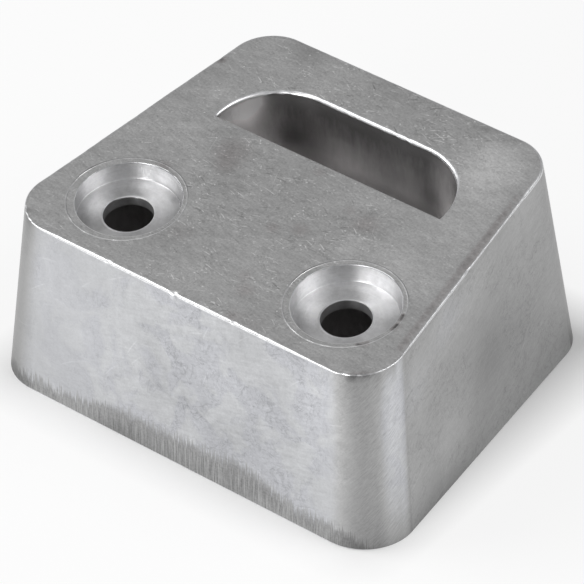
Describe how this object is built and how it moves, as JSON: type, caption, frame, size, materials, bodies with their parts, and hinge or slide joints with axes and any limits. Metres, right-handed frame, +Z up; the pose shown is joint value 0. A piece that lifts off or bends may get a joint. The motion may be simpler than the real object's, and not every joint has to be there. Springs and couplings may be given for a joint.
{
  "type": "sacrificial anode",
  "caption": "Cast zinc block anode: tapered, round-cornered, with a sloping top, counterbored bolt holes near its front edge and a D-shaped pocket behind them.",
  "frame": {"origin": "centre of the base's bounding box, on the flat base that the block stands on", "axes": "+Z up from the base; the front face, beside the bolt holes, looks towards -Y and the pocket lies towards +Y; +X runs along the row of bolt holes"},
  "size_m": [0.1058, 0.093, 0.0531],
  "materials": {
    "cast_zinc": "bright cast zinc, chilled in a metal mould, with linished edges"
  },
  "bodies": {
    "root": {"anode_block": "cast_zinc"}
  },
  "joints": []
}
